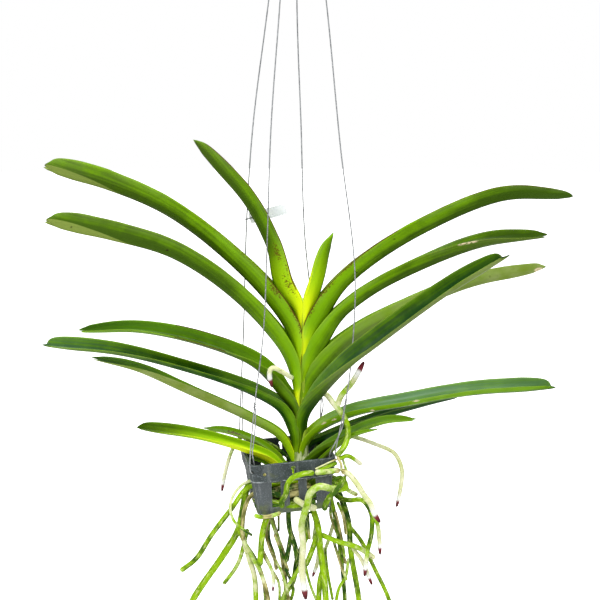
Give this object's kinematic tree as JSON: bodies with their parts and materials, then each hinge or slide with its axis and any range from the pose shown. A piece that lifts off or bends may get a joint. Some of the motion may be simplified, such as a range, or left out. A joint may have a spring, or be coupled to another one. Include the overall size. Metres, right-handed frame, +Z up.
{
  "type": "hanging orchid plant in a slatted basket",
  "caption": "Strap-leaved orchid rooted bare in a small square slatted basket that hangs from wires and a hook, with long roots trailing through and below it.",
  "frame": {"origin": "inside top of the hanger hook, where the rod or nail that carries it lies", "axes": "+Z up, +X to the right and +Y to the back when the flat leaf fan is seen from its front"},
  "size_m": [0.5272, 0.1193, 1.0797],
  "materials": {
    "leaf": "thick waxy living leaf, satin gloss above, paler and duller below",
    "stem_sheath": "dry leaf sheaths over a green stem, matte",
    "root": "spongy root skin, green where wet and silvery where dry, matte",
    "basket_plastic": "moulded charcoal plastic with scuffed pale edges and mineral dust",
    "wire_steel": "galvanised steel wire, dulled",
    "tag_plastic": "blank white label strip, satin"
  },
  "bodies": {
    "root": {"basket": "basket_plastic", "hanger_hook": "wire_steel", "wire_front_left": "wire_steel", "wire_back_left": "wire_steel", "wire_back_right": "wire_steel", "wire_front_right": "wire_steel", "tag_tie": "wire_steel", "name_tag": "tag_plastic", "stem": "stem_sheath", "leaf_left_1": "leaf", "leaf_left_2": "leaf", "leaf_left_3": "leaf", "leaf_left_4": "leaf", "leaf_left_5": "leaf", "leaf_left_6": "leaf", "leaf_left_7": "leaf", "leaf_left_8": "leaf", "leaf_left_9": "leaf", "leaf_right_1": "leaf", "leaf_right_2": "leaf", "leaf_right_3": "leaf", "leaf_right_4": "leaf", "leaf_right_5": "leaf", "leaf_right_6": "leaf", "leaf_right_7": "leaf", "leaf_right_8": "leaf", "leaf_right_9": "leaf", "roots_hanging": "root", "root_aerial_left": "root", "root_aerial_right": "root", "root_front_thick": "root", "root_band_left": "root", "root_band_right": "root", "root_far_right": "root", "root_right_arch": "root", "root_far_left": "root", "root_left_thick": "root", "root_left_drop": "root", "root_left_thin": "root"}
  },
  "joints": []
}
